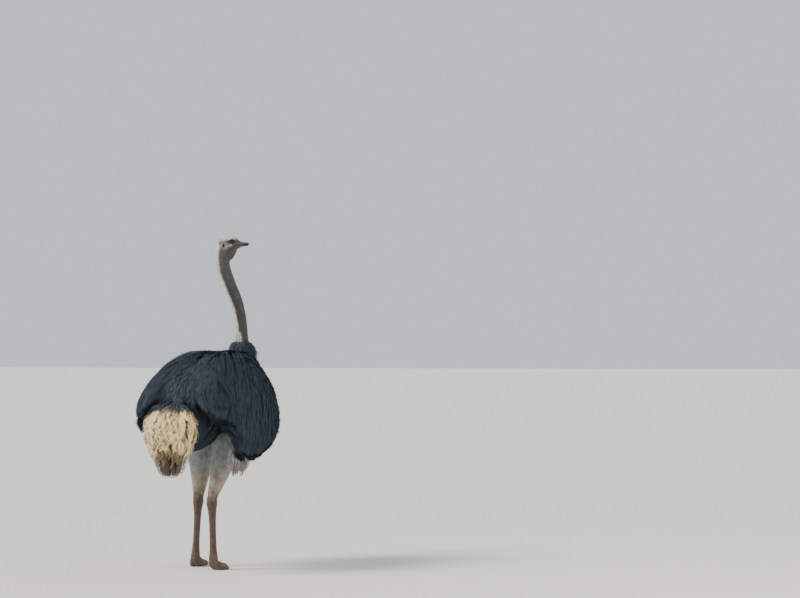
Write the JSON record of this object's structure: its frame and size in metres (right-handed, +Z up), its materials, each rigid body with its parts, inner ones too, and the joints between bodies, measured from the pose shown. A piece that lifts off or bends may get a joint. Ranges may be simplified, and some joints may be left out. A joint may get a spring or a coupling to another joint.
{
  "type": "ostrich figure",
  "caption": "Still, life-size figure of a male ostrich standing with drooped wings, its neck upright and its head turned to the right.",
  "frame": {"origin": "on the floor, under the middle of the whole figure's box", "axes": "+Z up, the bird faces -Y, its left side is +X"},
  "size_m": [0.9016, 1.2704, 2.3745],
  "materials": {
    "bare_skin": "bare grey-pink skin of head, neck and thighs, pimpled, with sparse short down",
    "black_plumage": "loose soft black plumes, matt",
    "tail_plumes": "long drooping cream plumes, browner low down, matt",
    "white_plumes": "soiled white wing plumes, matt",
    "leg_scales": "scaled brown skin, horny plates in front",
    "bill_horn": "satin horn, greyish",
    "claw_horn": "dark worn horn",
    "eye": "wet dark brown eye"
  },
  "bodies": {
    "root": {"head": "bare_skin", "throat": "bare_skin", "bill_upper": "bill_horn", "bill_lower": "bill_horn", "eye_left": "eye", "eye_right": "eye", "neck_upper": "bare_skin", "neck_lower": "bare_skin", "neck_root": "black_plumage", "trunk": "black_plumage", "tail": "tail_plumes", "wing_left": "black_plumage", "wing_right": "black_plumage", "wing_tip_left": "white_plumes", "wing_tip_right": "white_plumes", "thigh_left": "bare_skin", "thigh_right": "bare_skin", "tarsus_left": "leg_scales", "tarsus_right": "leg_scales", "toe_main_left": "leg_scales", "toe_main_right": "leg_scales", "toe_outer_left": "leg_scales", "toe_outer_right": "leg_scales", "claw_left": "claw_horn", "claw_right": "claw_horn"}
  },
  "joints": []
}
